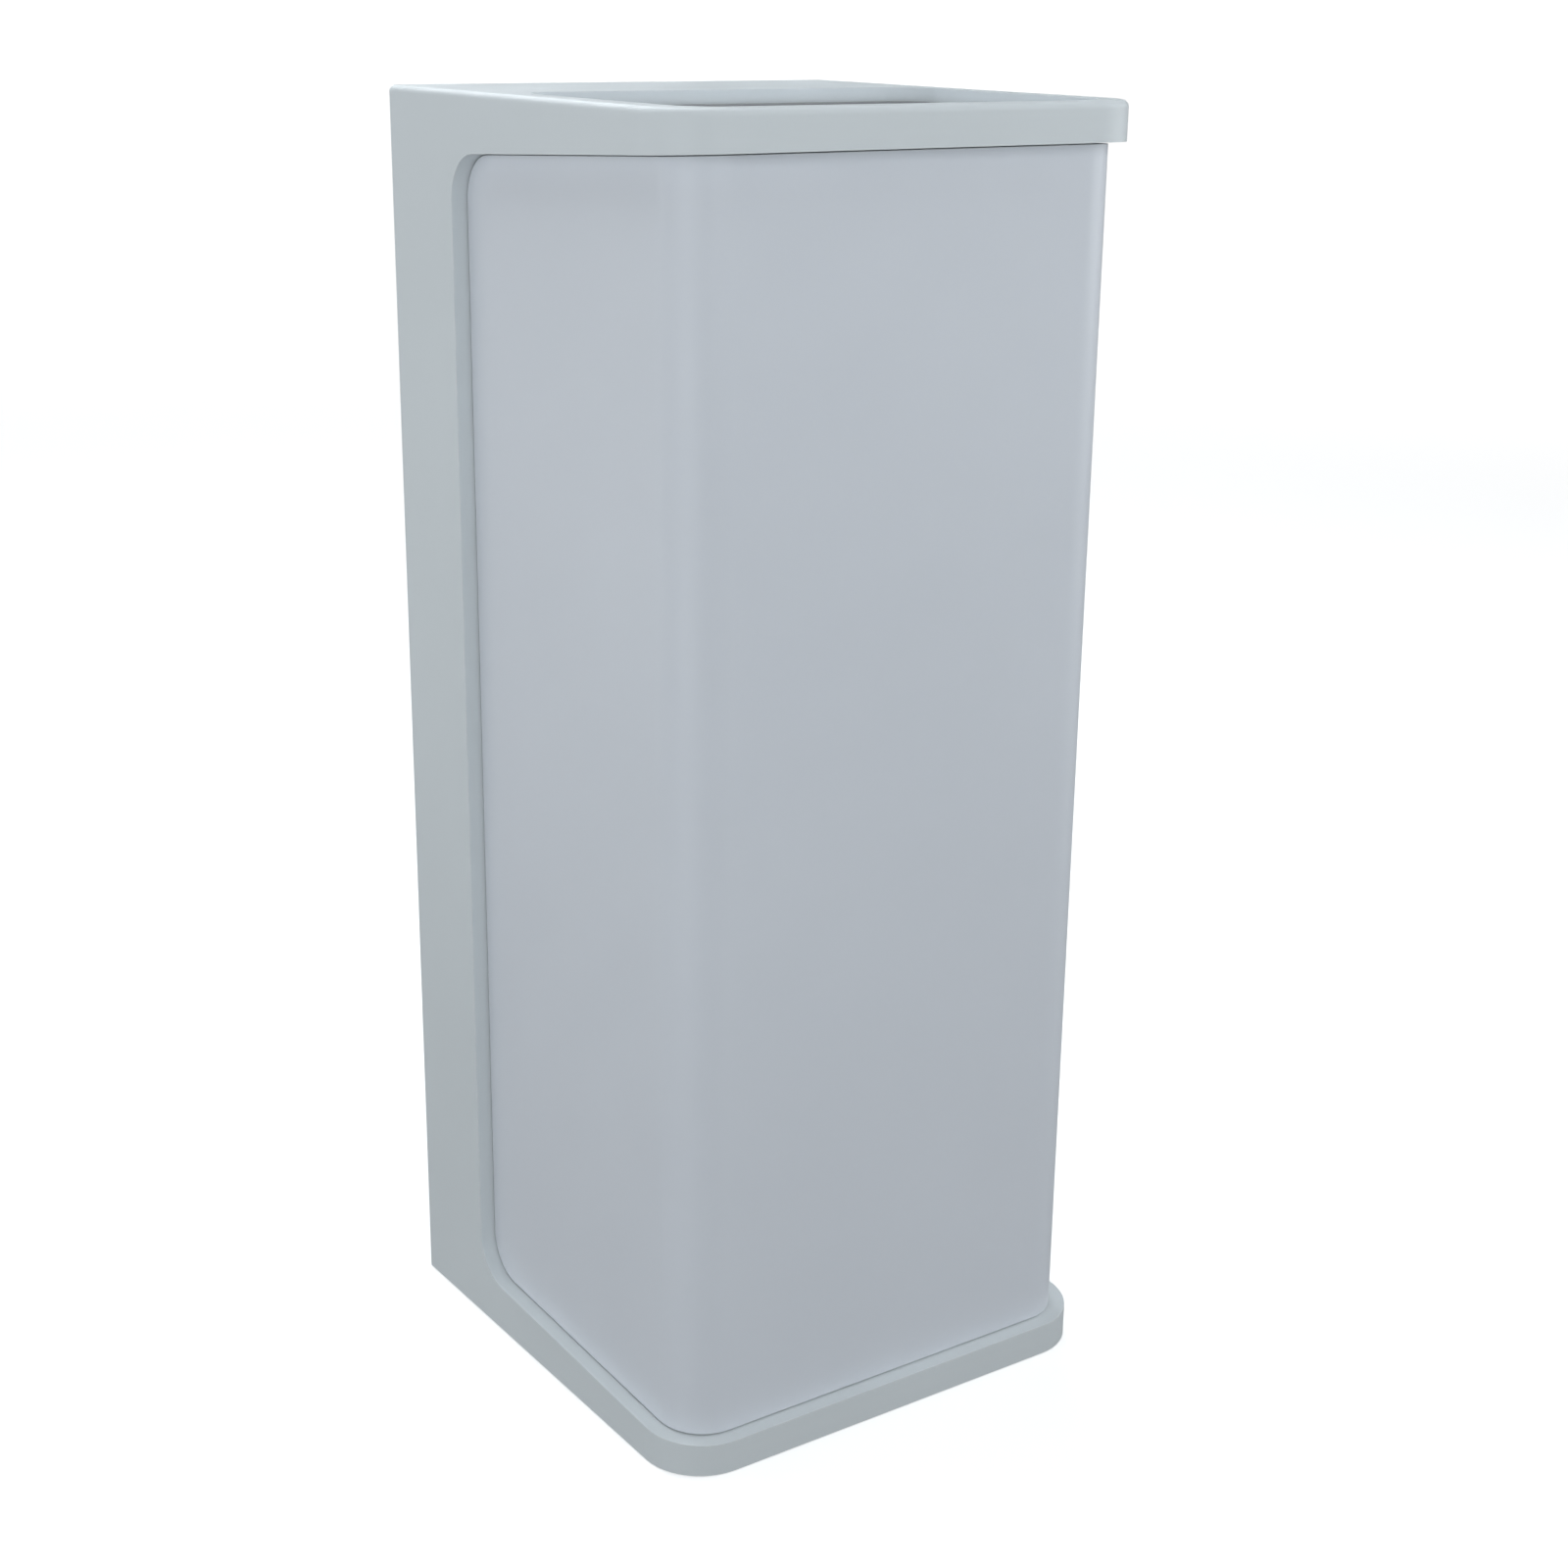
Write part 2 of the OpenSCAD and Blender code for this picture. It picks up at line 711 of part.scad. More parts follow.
module terminal_contacts() {
    z0 = term_low + contact_end + contact_gap;
    z1 = term_high - contact_end - contact_gap;
    color("goldenrod") for (i = [-1, 0, 1]) translate([i * pole_pitch, wire_y, 0]) difference() {
        translate([-contact_out, -contact_out, z0]) cube([2 * contact_out, 2 * contact_out, z1 - z0]);
        translate([-contact_in, -contact_in, z0 - 1])
            cube([2 * contact_in, 2 * contact_in, z1 - z0 + 2]);
    }
}

// One lever: a hub with two stub pins, a thumb plate and a raised lip at its free end
module lever(x) {
    w = lever_w - 0.2;
    translate([x, lever_y, lever_z]) {
        rotate([0, 90, 0]) cylinder(r = lever_hub_r, h = w, center = true);
        rotate([0, 90, 0]) cylinder(r = lever_pin_r, h = lever_w + 2 * lever_pin_l, center = true);
        translate([-w / 2, -lever_hub_r, -lever_l]) cube([w, lever_t, lever_l]);
        translate([-w / 2, -lever_hub_r - 1, -lever_l]) cube([w, 1.5, 1.6]);
    }
}

module line_lever() {
    color("gray") lever(-pole_pitch);
}

module neutral_lever() {
    color("gray") lever(0);
}

module earth_lever() {
    color("gray") lever(pole_pitch);
}

// ---------- earth point ----------

module earth_stud() {
    color("goldenrod") bar_y(earth_x, earth_z, m4_r, plate_y - earth_stud_l, back_y);
}

module ring_terminal() {
    barrel_y = plate_y - barrel_r - 0.1;
    color("silver") difference() {
        union() {
            bar_y(earth_x, earth_z, ring_r, plate_y - ring_t, plate_y);
            translate([earth_x - 7, plate_y - ring_t, earth_z - barrel_r])
                cube([5, ring_t, 2 * barrel_r]);
            translate([earth_x - 8.5, barrel_y, earth_z]) rotate([0, 90, 0])
                cylinder(r = barrel_r, h = 3.4);
        }
        bar_y(earth_x, earth_z, m4_r + fit, plate_y - over, plate_y + 1);
        translate([earth_x - 9, barrel_y, earth_z]) rotate([0, 90, 0]) cylinder(r = wire_r + fit, h = 5);
    }
}

module earth_nut() {
    color("gainsboro") difference() {
        translate([earth_x, plate_y - ring_t, earth_z]) rotate([90, 0, 0])
            cylinder(r = nut_r, h = nut_t, $fn = 6);
        bar_y(earth_x, earth_z, m4_r + fit, plate_y - ring_t - nut_t - 1, plate_y);
    }
}

// ---------- internal leads ----------

function unit(v) = v / norm(v);

// Points of a smooth curve through the route: a cubic stretch between each two points
function smooth(p, steps) = [
    for (i = [0 : len(p) - 2], k = [0 : steps - 1])
        let (t = k / steps, a = p[max(i - 1, 0)], b = p[i], c = p[i + 1], d = p[min(i + 2, len(p) - 1)])
            b + 0.5 * t * ((c - a) + t * ((2 * a - 5 * b + 4 * c - d) + t * (3 * b - a - 3 * c + d))),
    p[len(p) - 1]
];

// Direction of a curve at its point i
function heading(p, i) = unit(p[min(i + 1, len(p) - 1)] - p[max(i - 1, 0)]);

// Cross direction carried from ring to ring, so the tube doesn't twist
function frames(p, i = 0, last = [1, 0.2, 0.1], out = []) =
    i == len(p) ? out
    : let (h = heading(p, i), n = unit(last - (last * h) * h)) frames(p, i + 1, n, concat(out, [n]));

// A tube of radius r along a route
module tube(route, r) {
    sides = 8;
    p = smooth(route, 3);
    n = frames(p);
    rings = len(p);
    points = [for (i = [0 : rings - 1], s = [0 : sides - 1])
        let (h = heading(p, i), b = cross(h, n[i]), a = 360 * s / sides)
            p[i] + r * (cos(a) * n[i] + sin(a) * b)];
    walls = [for (i = [0 : rings - 2], s = [0 : sides - 1])
        let (a = i * sides, b = a + sides, next = (s + 1) % sides) [a + s, a + next, b + next, b + s]];
    first = [for (s = [sides - 1 : -1 : 0]) s];
    final = [for (s = [0 : sides - 1]) (rings - 1) * sides + s];
    polyhedron(points, concat([first], walls, [final]));
}

module line_lead() {
    color("saddlebrown") tube(route_line, wire_r);
}

module neutral_lead() {
    color("steelblue") tube(route_neutral, wire_r);
}

module earth_lead() {
    color("yellowgreen") tube(route_earth, wire_r);
}

module plus_lead() {
    color("firebrick") tube(route_plus, lead_r);
}

module minus_lead() {
    color("black") tube(route_minus, lead_r);
}

// ---------- cover clips ----------

// Spring strip behind the bulkhead, its leg beside a lug of the cover
module cover_clips() {
    y0 = cavity_y;
    // what stands nearest the lug, and the leg's inner face
    bead_x = lug_in - loose - clip_t;
    leg_x = bead_x - loose;
    color("silver") for (s = [0, 1], sz = [-1, 1]) mirror([s, 0, 0])
        translate([0, 0, mid_z + sz * lug_dz / 2]) difference() {
            translate([0, 0, -clip_w / 2]) linear_extrude(clip_w) {
                translate([leg_x + clip_t + 0.1 - clip_foot_l, y0]) square([clip_foot_l, clip_foot_t]);
                translate([leg_x, y0]) square([clip_t, clip_leg_l]);
                translate([bead_x, y0 + 5.5]) circle(clip_t);
            }
            bar_y(stake_x, 0, stake_r + fit, y0 - 1, y0 + over);
        }
}

// ---------- the assembly ----------

housing_frame();
opal_cover();
top_lens();
lens_seal();
wall_plate();
wall_seal();
cable_grommet();
plate_inserts();
body_screws();
gear_tray();
tray_screws();
led_board();
led_chips();
board_screws();
board_connector();
led_grommet();
driver_case();
driver_lid();
driver_board();
driver_parts();
driver_screws();
terminal_block();
line_lever();
neutral_lever();
earth_lever();
terminal_contacts();
cord_clamp();
clamp_screws();
earth_stud();
earth_nut();
ring_terminal();
line_lead();
neutral_lead();
earth_lead();
plus_lead();
minus_lead();
cover_clips();
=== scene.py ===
import json
import math

import bpy
from mathutils import Matrix, Vector


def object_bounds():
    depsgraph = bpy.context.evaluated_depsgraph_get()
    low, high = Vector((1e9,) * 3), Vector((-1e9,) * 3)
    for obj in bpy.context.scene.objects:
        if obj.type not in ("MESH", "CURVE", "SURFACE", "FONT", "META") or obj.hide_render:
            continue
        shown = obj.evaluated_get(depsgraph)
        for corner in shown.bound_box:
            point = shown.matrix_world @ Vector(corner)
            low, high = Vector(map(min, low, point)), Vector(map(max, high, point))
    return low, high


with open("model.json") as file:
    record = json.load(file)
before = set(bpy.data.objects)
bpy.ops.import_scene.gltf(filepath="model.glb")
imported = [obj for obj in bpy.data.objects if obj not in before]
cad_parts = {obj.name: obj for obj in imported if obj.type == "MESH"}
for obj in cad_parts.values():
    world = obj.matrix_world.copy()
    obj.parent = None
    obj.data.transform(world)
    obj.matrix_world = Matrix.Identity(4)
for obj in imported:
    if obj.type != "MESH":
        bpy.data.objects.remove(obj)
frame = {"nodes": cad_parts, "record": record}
CAD_BOX = [list(corner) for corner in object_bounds()]
HEIGHT = CAD_BOX[1][2] - CAD_BOX[0][2]
MIDDLE = Vector((0, 0, HEIGHT / 2))
NODES = frame["nodes"]
SCENE = bpy.context.scene
MM = 0.001


# ---------- camera ----------

# Angles in degrees, and the place in heights of the object
LENS_MM = 56.16
SENSOR_MM = 36
AZIMUTH = 34.88
PITCH = 17.97
ROLL = 0.75
CAMERA_PLACE = (-1.04785, -1.54200, 1.07110)


def make_camera():
    """The photo's view, from the left of the front and above."""
    azimuth, pitch, roll = (math.radians(angle) for angle in (AZIMUTH, PITCH, ROLL))
    ahead = Vector((math.sin(azimuth) * math.cos(pitch), math.cos(azimuth) * math.cos(pitch), -math.sin(pitch)))
    right = Vector((math.cos(azimuth), -math.sin(azimuth), 0))
    up = right.cross(ahead)
    across = math.cos(roll) * right + math.sin(roll) * up
    upward = math.cos(roll) * up - math.sin(roll) * right
    turn = Matrix((across, upward, -ahead)).transposed().to_4x4()
    data = bpy.data.cameras.new("camera")
    data.sensor_width = SENSOR_MM
    data.lens = LENS_MM
    data.clip_start = 0.01
    camera = bpy.data.objects.new("camera", data)
    camera.matrix_world = Matrix.Translation(Vector(CAMERA_PLACE) * HEIGHT) @ turn
    SCENE.collection.objects.link(camera)
    SCENE.camera = camera


# ---------- node helpers ----------

MAP_RANGE_SOCKETS = ("From Min", "From Max", "To Min", "To Max")


class Shader:
    """One material's node tree, with short calls for the nodes that the materials share."""

    def __init__(self, name):
        self.material = bpy.data.materials.new(name)
        self.material.use_nodes = True
        self.nodes = self.material.node_tree.nodes
        self.links = self.material.node_tree.links
        self.surface = self.nodes["Principled BSDF"]
        self.place = self.nodes.new("ShaderNodeTexCoord").outputs["Object"]

    def set(self, **values):
        """Constant values on the surface's sockets; an underscore in a name stands for a space."""
        for name, value in values.items():
            self.surface.inputs[name.replace("_", " ")].default_value = value

    def feed(self, source, socket):
        """Another node's output into one of the surface's sockets."""
        self.links.new(source, self.surface.inputs[socket])

    def noise(self, scale, detail=2.0, stretch=None):
        node = self.nodes.new("ShaderNodeTexNoise")
        node.inputs["Scale"].default_value = scale
        node.inputs["Detail"].default_value = detail
        self.links.new(self.stretched(stretch), node.inputs["Vector"])
        return node.outputs["Fac"]

    def cells(self, scale):
        """A random grey in each cell of a crystal pattern."""
        node = self.nodes.new("ShaderNodeTexVoronoi")
        node.inputs["Scale"].default_value = scale
        self.links.new(self.place, node.inputs["Vector"])
        grey = self.nodes.new("ShaderNodeRGBToBW")
        self.links.new(node.outputs["Color"], grey.inputs[0])
        return grey.outputs[0]

    def stretched(self, stretch):
        """The place on the object, squeezed along some axes so that a pattern becomes lines."""
        if stretch is None:
            return self.place
        node = self.nodes.new("ShaderNodeVectorMath")
        node.operation = "MULTIPLY"
        node.inputs[1].default_value = stretch
        self.links.new(self.place, node.inputs[0])
        return node.outputs["Vector"]

    def spread(self, value, start, end, low, high):
        """Carries start..end smoothly over to low..high, and holds it there beyond."""
        node = self.nodes.new("ShaderNodeMapRange")
        node.interpolation_type = "SMOOTHSTEP"
        for name, number in zip(MAP_RANGE_SOCKETS, (start, end, low, high)):
            node.inputs[name].default_value = number
        self.links.new(value, node.inputs["Value"])
        return node.outputs[0]

    def combine(self, first, second, operation):
        node = self.nodes.new("ShaderNodeMath")
        node.operation = operation
        self.links.new(first, node.inputs[0])
        self.links.new(second, node.inputs[1])
        return node.outputs[0]

    def mix(self, value, first, second):
        """Colour between first and second, each a constant or another node's colour."""
        node = self.nodes.new("ShaderNodeMix")
        node.data_type = "RGBA"
        for socket, colour in ((node.inputs[6], first), (node.inputs[7], second)):
            if isinstance(colour, tuple):
                socket.default_value = (*colour, 1)
            else:
                self.links.new(colour, socket)
        self.links.new(value, node.inputs[0])
        return node.outputs[2]

    def edges(self, radius):
        """1 on rounded edges and 0 on flat faces, from how far a rounded normal leans from the true one."""
        soft = self.nodes.new("ShaderNodeBevel")
        soft.samples = 4
        soft.inputs["Radius"].default_value = radius
        here = self.nodes.new("ShaderNodeNewGeometry")
        lean = self.nodes.new("ShaderNodeVectorMath")
        lean.operation = "DOT_PRODUCT"
        self.links.new(soft.outputs["Normal"], lean.inputs[0])
        self.links.new(here.outputs["Normal"], lean.inputs[1])
        return self.spread(lean.outputs["Value"], 0.82, 0.995, 1, 0)

    def crevices(self, reach):
        """1 deep in corners and seams and 0 in the open."""
        node = self.nodes.new("ShaderNodeAmbientOcclusion")
        node.samples = 6
        node.inputs["Distance"].default_value = reach
        return self.spread(node.outputs["AO"], 0.25, 0.95, 1, 0)

    def bump(self, layers):
        """Stacks (height, strength, distance) layers into the surface normal."""
        below = None
        for height, strength, distance in layers:
            node = self.nodes.new("ShaderNodeBump")
            node.inputs["Strength"].default_value = strength
            node.inputs["Distance"].default_value = distance
            self.links.new(height, node.inputs["Height"])
            if below is not None:
                self.links.new(below, node.inputs["Normal"])
            below = node.outputs["Normal"]
        self.feed(below, "Normal")


# ---------- materials ----------

# Scales of the patterns, in cycles per metre
TONE_SCALE = 14
SINK_SCALE = 22
GLOSS_SCALE = 55
PATCH_SCALE = 160
WEAR_SCALE = 420


DUST = (0.52, 0.50, 0.46)


def shaded(colour, factor):
    return tuple(min(1.0, channel * factor) for channel in colour)


def plastic(name, colour, worn, dirty, rough, grain, wave=0.0, drift=0.02, grime_most=0.35, **values):
    """Moulded plastic: slow colour drift, edges lighter from wear and a painted highlight, crevices darkened by
    painted shade and grime, uneven gloss, a fine mould grain and a slow waviness where thick walls sank as they
    cooled."""
    s = Shader(name)
    tone = s.spread(s.noise(TONE_SCALE, 3), 0.3, 0.7, 0, 1)
    base = s.mix(tone, shaded(colour, 1 - drift), shaded(colour, 1 + drift))
    # Painted shade: crevices and seams darken in patches, partly grime and partly standing in for the shade
    # that falls there.
    patches = s.spread(s.noise(PATCH_SCALE, 4), 0.25, 0.7, 0.1, grime_most)
    base = s.mix(s.combine(s.crevices(3 * MM), patches, "MULTIPLY"), base, dirty)
    # Painted highlight: rounded edges lighten in rubbed patches, partly as wear and partly standing in for
    # their highlight; the same mask makes them glossier.
    rubbed = s.spread(s.noise(WEAR_SCALE, 3), 0.35, 0.65, 0.2, 0.9)
    edge_wear_and_highlight = s.combine(s.edges(0.7 * MM), rubbed, "MULTIPLY")
    s.feed(s.mix(edge_wear_and_highlight, base, worn), "Base Color")
    uneven = s.spread(s.noise(GLOSS_SCALE, 5), 0.3, 0.7, rough - 0.05, rough + 0.05)
    s.feed(s.combine(uneven, s.spread(edge_wear_and_highlight, 0, 1, 0, 0.08), "SUBTRACT"), "Roughness")
    layers = [(s.noise(grain, 2), 0.5, 0.03 * MM)]
    if wave:
        layers.insert(0, (s.noise(SINK_SCALE, 1), 1.0, wave))
    s.bump(layers)
    s.set(**values)
    return s.material


def metal(name, first, second, rough, scale, stretch=None, spangle=False):
    """Metal with a drifting tone, fine lines or zinc spangle, and corners darkened with painted shade."""
    s = Shader(name)
    tone = s.cells(scale) if spangle else s.noise(scale, 4, stretch)
    base = s.mix(s.spread(tone, 0.25, 0.75, 0, 1), first, second)
    # Painted shade: corners and seams darken to a shaded copy of the metal's own colour.
    base = s.mix(s.spread(s.crevices(2 * MM), 0, 1, 0, 0.5), base, shaded(first, 0.45))
    s.feed(base, "Base Color")
    s.feed(s.spread(s.noise(scale * 0.4, 3), 0.3, 0.7, rough - 0.07, rough + 0.09), "Roughness")
    s.bump([(s.noise(scale * 3, 3, stretch), 0.3, 0.015 * MM)])
    s.set(Metallic=1.0)
    return s.material


def painted(name, first, second, rough):
    """A coat on sheet metal or board: orange peel, drifting tone, and dust in the corners."""
    s = Shader(name)
    base = s.mix(s.spread(s.noise(30, 4), 0.3, 0.7, 0, 1), first, second)
    dust = s.combine(s.crevices(6 * MM), s.spread(s.noise(90, 4), 0.3, 0.7, 0.2, 0.8), "MULTIPLY")
    s.feed(s.mix(dust, base, DUST), "Base Color")
    s.feed(s.spread(s.noise(200, 3), 0.3, 0.7, rough - 0.06, rough + 0.06), "Roughness")
    s.bump([(s.noise(900, 2), 0.5, 0.03 * MM)])
    s.set(Specular_IOR_Level=0.5)
    return s.material


def insulation(name, colour):
    """Lead insulation: slightly glossy, with mottled tone and gloss."""
    s = Shader(name)
    base = s.mix(s.spread(s.noise(500, 4), 0.3, 0.7, 0, 1), shaded(colour, 0.8), colour)
    s.feed(base, "Base Color")
    s.feed(s.spread(s.noise(800, 3), 0.3, 0.7, 0.28, 0.42), "Roughness")
    s.bump([(s.noise(1800, 2), 0.2, 0.01 * MM)])
    return s.material


# How far light travels inside the opal cover and lens
SCATTER = 5 * MM
# In each plastic the lighter edge colour is wear plus a painted highlight, and the darker crevice colour is
# grime plus painted shade.
PLASTICS = {
    "white_moulding": dict(colour=(0.757, 0.804, 0.822), worn=(0.85, 0.875, 0.88), dirty=(0.62, 0.62, 0.60),
                           rough=0.42, grain=1900, wave=0.12 * MM, drift=0.012, grime_most=0.2),
    "opal": dict(colour=(0.785, 0.817, 0.867), worn=(0.85, 0.87, 0.89), dirty=(0.62, 0.62, 0.61),
                 rough=0.38, grain=1500, wave=0.05 * MM, drift=0.008, grime_most=0.15,
                 Subsurface_Weight=0.4, Subsurface_Radius=(SCATTER, SCATTER, SCATTER)),
    "seal_rubber": dict(colour=(0.36, 0.37, 0.38), worn=(0.44, 0.44, 0.44), dirty=(0.22, 0.22, 0.21),
                        rough=0.7, grain=1400, drift=0.06),
    "connector_plastic": dict(colour=(0.80, 0.77, 0.66), worn=(0.86, 0.84, 0.75), dirty=(0.5, 0.46, 0.36),
                              rough=0.45, grain=1800),
    "driver_plastic": dict(colour=(0.70, 0.70, 0.68), worn=(0.78, 0.78, 0.77), dirty=(0.42, 0.41, 0.39),
                           rough=0.52, grain=1100),
    "terminal_plastic": dict(colour=(0.20, 0.215, 0.225), worn=(0.32, 0.33, 0.34), dirty=(0.12, 0.12, 0.12),
                             rough=0.5, grain=1500, drift=0.06),
    "lever_plastic": dict(colour=(0.62, 0.20, 0.035), worn=(0.72, 0.32, 0.10), dirty=(0.3, 0.10, 0.03),
                          rough=0.34, grain=1800, drift=0.04),
    "component": dict(colour=(0.028, 0.028, 0.03), worn=(0.07, 0.07, 0.07), dirty=(0.05, 0.045, 0.04),
                      rough=0.4, grain=1500, drift=0.15),
    "phosphor": dict(colour=(0.84, 0.66, 0.15), worn=(0.88, 0.76, 0.30), dirty=(0.6, 0.45, 0.1),
                     rough=0.35, grain=1500, drift=0.05),
}
METALS = {
    "zinc_plate": dict(first=(0.50, 0.52, 0.54), second=(0.58, 0.60, 0.62), rough=0.42, scale=170,
                       spangle=True),
    "screw_steel": dict(first=(0.50, 0.50, 0.51), second=(0.62, 0.62, 0.63), rough=0.27, scale=900),
    "spring_steel": dict(first=(0.38, 0.39, 0.41), second=(0.5, 0.5, 0.52), rough=0.25, scale=700,
                         stretch=(1, 1, 8)),
    "brass": dict(first=(0.60, 0.41, 0.15), second=(0.74, 0.52, 0.21), rough=0.3, scale=800),
    "tinned": dict(first=(0.58, 0.58, 0.56), second=(0.72, 0.72, 0.70), rough=0.3, scale=800),
}
PAINTS = {
    "tray_paint": dict(first=(0.78, 0.79, 0.79), second=(0.84, 0.85, 0.85), rough=0.48),
    "board_white": dict(first=(0.78, 0.78, 0.74), second=(0.84, 0.84, 0.80), rough=0.42),
    "circuit": dict(first=(0.012, 0.10, 0.035), second=(0.018, 0.13, 0.05), rough=0.35),
}
LEADS = {
    "lead_brown": dict(colour=(0.13, 0.045, 0.016)),
    "lead_blue": dict(colour=(0.015, 0.07, 0.32)),
    "lead_green": dict(colour=(0.12, 0.34, 0.03)),
    "lead_red": dict(colour=(0.42, 0.015, 0.01)),
    "lead_black": dict(colour=(0.014, 0.014, 0.015)),
}


def make_materials():
    """A material for each of the record's slots, by its name."""
    kinds = ((plastic, PLASTICS), (metal, METALS), (painted, PAINTS), (insulation, LEADS))
    return {name: make(name, **values) for make, table in kinds for name, values in table.items()}


# ---------- floor, backdrop and light ----------

# The set's white, and how far from the object its glow starts and stops growing
SET_WHITE = (0.94, 0.94, 0.94, 1)
GLOW_START = 0.3
GLOW_END = 2.0


def stage_piece(name, points, faces, glow_near, glow_far):
    """A white piece of the set that the camera sees but that sends no light back to the object. Its glow goes
    from glow_near beside the object to glow_far in the distance."""
    mesh = bpy.data.meshes.new(name)
    mesh.from_pydata(points, [], faces)
    piece = bpy.data.objects.new(name, mesh)
    SCENE.collection.objects.link(piece)
    piece.visible_diffuse = False
    piece.visible_glossy = False
    piece.visible_transmission = False
    piece.visible_shadow = False
    s = Shader(name)
    distance = s.nodes.new("ShaderNodeVectorMath")
    distance.operation = "LENGTH"
    s.links.new(s.place, distance.inputs[0])
    glow = s.spread(distance.outputs["Value"], GLOW_START, GLOW_END, glow_near, glow_far)
    s.feed(glow, "Emission Strength")
    s.set(Base_Color=SET_WHITE, Roughness=0.9, Specular_IOR_Level=0.0, Emission_Color=(1, 1, 1, 1))
    mesh.materials.append(s.material)


FLOOR_REACH = 9
FLOOR_LEVEL = -0.2 * MM
WALL_RADIUS = 8.1
WALL_FOOT = -1
WALL_SIDES = 48


def make_stage():
    """A floor just under the object, and a round wall with a lid that closes the view above it."""
    signs = ((-1, -1), (1, -1), (1, 1), (-1, 1))
    corners = [(FLOOR_REACH * x, FLOOR_REACH * y, FLOOR_LEVEL) for x, y in signs]
    stage_piece("floor", corners, [(0, 1, 2, 3)], 0.45, 1.0)
    turns = [math.tau * i / WALL_SIDES for i in range(WALL_SIDES)]
    ring = [(WALL_RADIUS * math.cos(turn), WALL_RADIUS * math.sin(turn)) for turn in turns]
    points = [(x, y, z) for z in (WALL_FOOT, FLOOR_REACH) for x, y in ring]
    following = [(i + 1) % WALL_SIDES for i in range(WALL_SIDES)]
    faces = [(i, after, WALL_SIDES + after, WALL_SIDES + i) for i, after in enumerate(following)]
    faces.append(tuple(range(WALL_SIDES, 2 * WALL_SIDES)))
    stage_piece("backdrop", points, faces, 1.0, 1.0)


TINT = (0.96, 1.0, 1.03)
# Strength of the light from the world above and below the horizon, and how far it takes to change
WORLD_ABOVE = 0.03
WORLD_BELOW = 0.25
HORIZON = 0.1
# Soft boxes: azimuth and elevation in degrees, distance and size in metres, power in watts
SOFT_BOXES = {
    "back": (180, 50, 1.0, 0.8, 5.6),
    "top": (0, 89.9, 0.9, 0.8, 2.6),
    "right_high": (70, 22, 0.9, 0.7, 2.55),
    "right_low": (65, 5, 1.0, 0.8, 0.95),
    "front": (-5, 22, 0.9, 0.7, 2.3),
    "left_low": (-60, 5, 1.0, 0.8, 1.9),
    "left_far": (-80, 5, 1.0, 0.8, 0.9),
    "left_rear": (-130, 5, 1.0, 0.8, 1.7),
    "left_high": (-110, 22, 0.9, 0.7, 0.4),
}


def soft_box(name, azimuth, elevation, distance, size, power):
    """A square soft box aimed at the middle of the object; azimuth 0 is the front, negative is to its left."""
    turn, rise = math.radians(azimuth), math.radians(elevation)
    out = Vector((math.sin(turn) * math.cos(rise), -math.cos(turn) * math.cos(rise), math.sin(rise)))
    data = bpy.data.lights.new(name, "AREA")
    data.shape = "SQUARE"
    data.size = size
    data.energy = power
    data.color = TINT
    light = bpy.data.objects.new(name, data)
    light.location = MIDDLE + out * distance
    light.rotation_euler = (-out).to_track_quat("-Z", "Y").to_euler()
    SCENE.collection.objects.link(light)


def make_world():
    """Even light from below the horizon, as a pale floor throws back, and a little from above it."""
    world = bpy.data.worlds.new("studio")
    world.use_nodes = True
    SCENE.world = world
    tree = world.node_tree
    place = tree.nodes.new("ShaderNodeTexCoord")
    split = tree.nodes.new("ShaderNodeSeparateXYZ")
    level = tree.nodes.new("ShaderNodeMapRange")
    level.interpolation_type = "SMOOTHSTEP"
    for name, number in zip(MAP_RANGE_SOCKETS, (-HORIZON, HORIZON, WORLD_BELOW, WORLD_ABOVE)):
        level.inputs[name].default_value = number
    tree.links.new(place.outputs["Generated"], split.inputs[0])
    tree.links.new(split.outputs["Z"], level.inputs["Value"])
    tree.links.new(level.outputs[0], tree.nodes["Background"].inputs["Strength"])
    tree.nodes["Background"].inputs["Color"].default_value = (*TINT, 1)


def make_lights():
    make_world()
    for name, values in SOFT_BOXES.items():
        soft_box(name, *values)


# ---------- soft edges on the CAD parts ----------

WELD_REACH = 0.002 * MM
# Degrees: faces flatter than the first are joined, and edges sharper than the second are rounded
FLAT_ANGLE = 0.4
SHARP_ANGLE = 28
BEVEL_SEGMENTS = 3


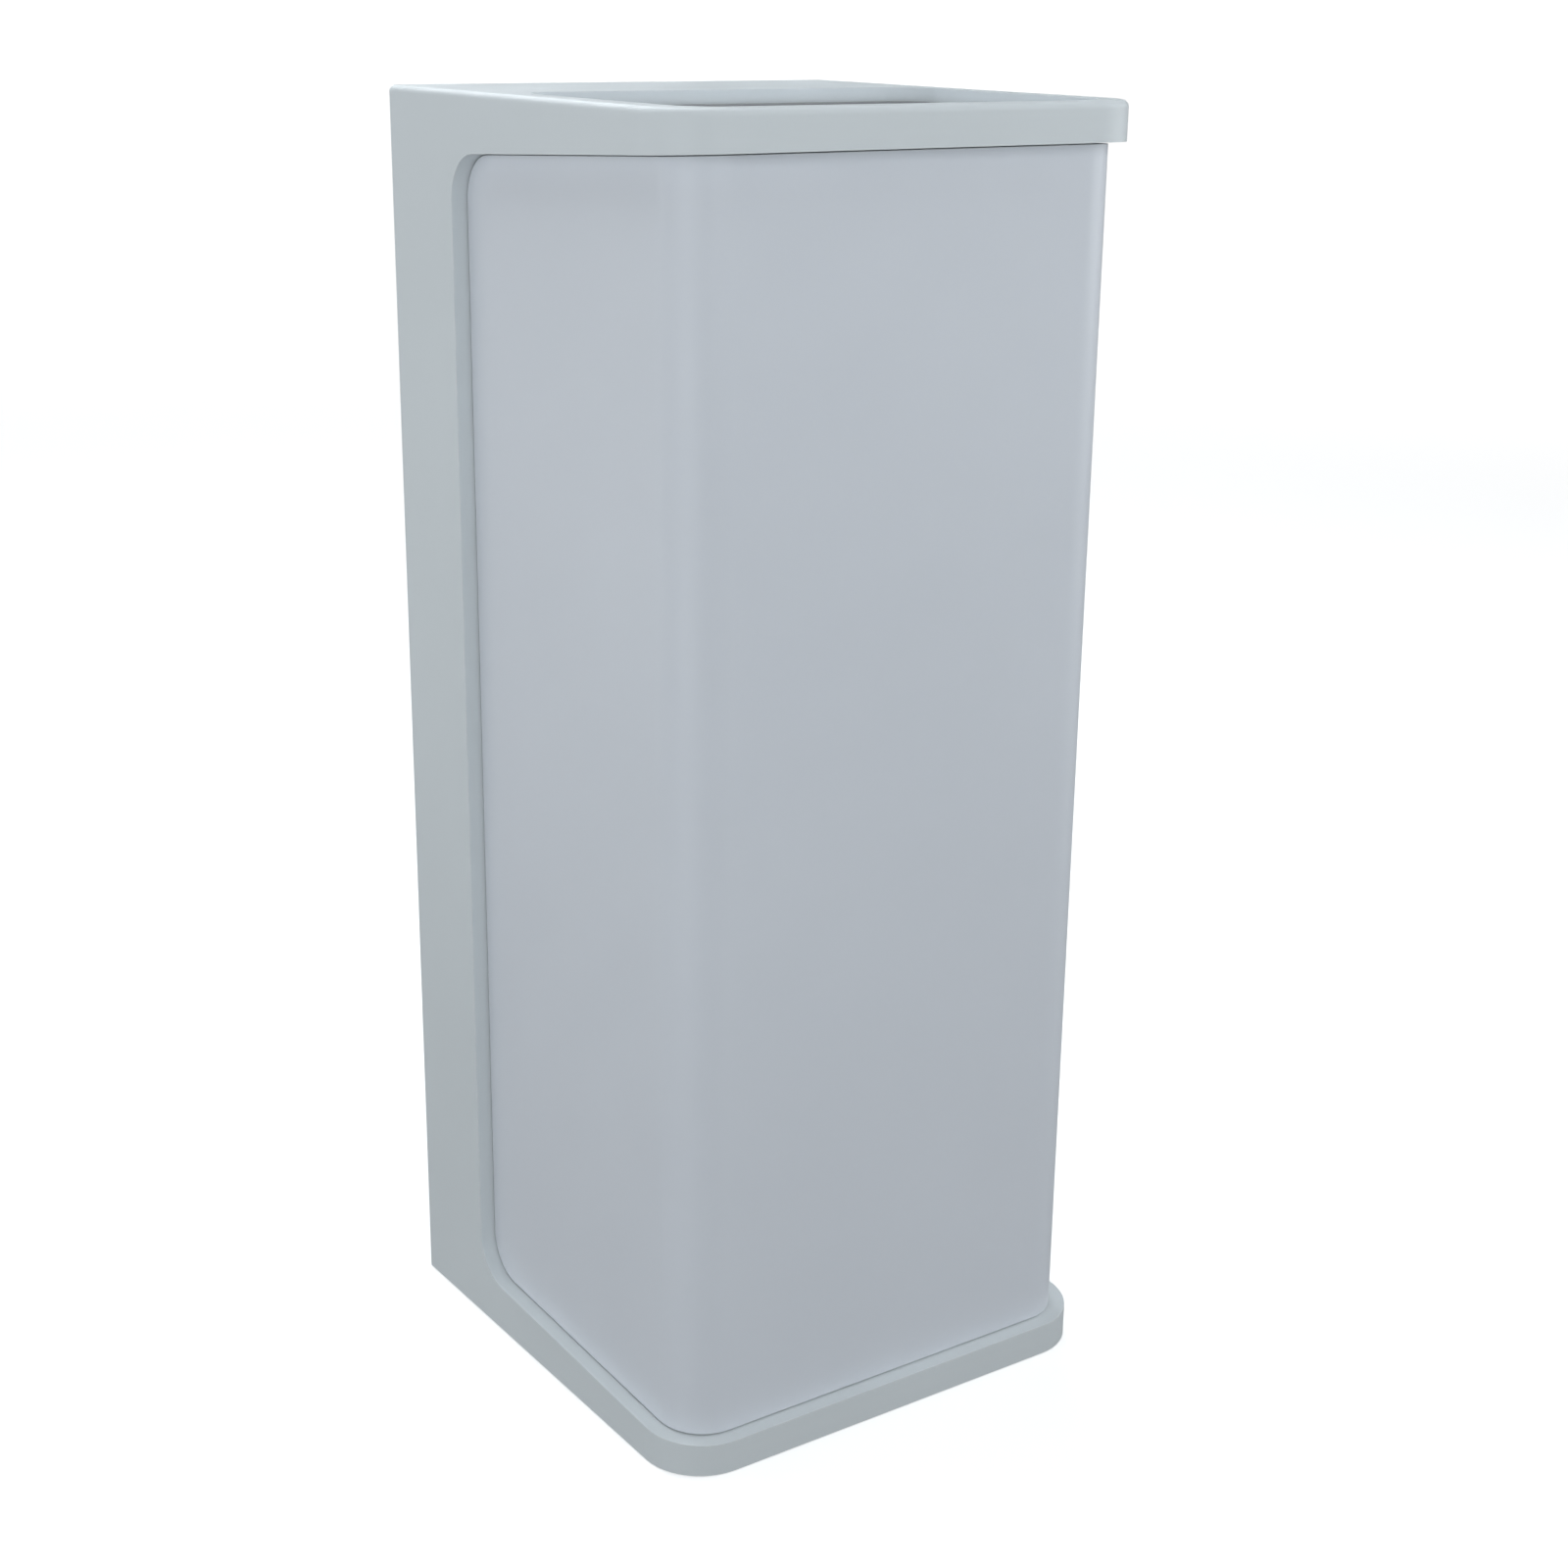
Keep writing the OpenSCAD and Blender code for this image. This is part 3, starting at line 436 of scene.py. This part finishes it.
def make_smooth_group():
    """A modifier's node group that shades a part smooth without touching its mesh."""
    group = bpy.data.node_groups.new("smooth", "GeometryNodeTree")
    group.interface.new_socket("Geometry", in_out="INPUT", socket_type="NodeSocketGeometry")
    group.interface.new_socket("Geometry", in_out="OUTPUT", socket_type="NodeSocketGeometry")
    start = group.nodes.new("NodeGroupInput")
    shade = group.nodes.new("GeometryNodeSetShadeSmooth")
    end = group.nodes.new("NodeGroupOutput")
    group.links.new(start.outputs[0], shade.inputs["Geometry"])
    group.links.new(shade.outputs[0], end.inputs[0])
    return group


def soften(part, width, smooth):
    """Small round edges on a CAD part, by modifiers only."""
    weld = part.modifiers.new("weld", "WELD")
    weld.merge_threshold = WELD_REACH
    flat = part.modifiers.new("flat", "DECIMATE")
    flat.decimate_type = "DISSOLVE"
    flat.angle_limit = math.radians(FLAT_ANGLE)
    if width:
        bevel = part.modifiers.new("bevel", "BEVEL")
        bevel.width = width
        bevel.segments = BEVEL_SEGMENTS
        bevel.limit_method = "ANGLE"
        bevel.angle_limit = math.radians(SHARP_ANGLE)
        bevel.miter_outer = "MITER_ARC"
    shade = part.modifiers.new("shade", "NODES")
    shade.node_group = smooth
    normals = part.modifiers.new("normals", "WEIGHTED_NORMAL")
    normals.keep_sharp = True
    normals.weight = 80


# Width of the round edge in millimetres; a part that isn't named has none
EDGES = {
    "housing_frame": 0.22, "opal_cover": 0.1, "top_lens": 0.2, "wall_plate": 0.12, "gear_tray": 0.12,
    "led_board": 0.1, "driver_case": 0.35, "driver_lid": 0.2, "terminal_block": 0.15, "cord_clamp": 0.2,
    "line_lever": 0.12, "neutral_lever": 0.12, "earth_lever": 0.12, "board_connector": 0.1,
    "cable_grommet": 0.2, "led_grommet": 0.12, "body_screws": 0.12, "tray_screws": 0.1, "board_screws": 0.08,
    "driver_screws": 0.08, "clamp_screws": 0.1, "earth_nut": 0.12, "plate_inserts": 0.1, "lens_seal": 0.08,
    "wall_seal": 0.1, "ring_terminal": 0.05, "terminal_contacts": 0.05, "led_chips": 0.06,
    "driver_parts": 0.2, "cover_clips": 0.04,
}


def dress_cad(materials):
    """Gives each CAD part the material of its slot in the record, and its soft edges."""
    slots = {row["node"]: row["material_slot"] for row in frame["record"]["subparts"]}
    smooth = make_smooth_group()
    for name, part in NODES.items():
        part.data.materials.clear()
        part.data.materials.append(materials[slots[name]])
        soften(part, EDGES.get(name, 0) * MM, smooth)


SCENE.view_settings.view_transform = "Standard"
make_camera()
make_stage()
make_lights()
dress_cad(make_materials())
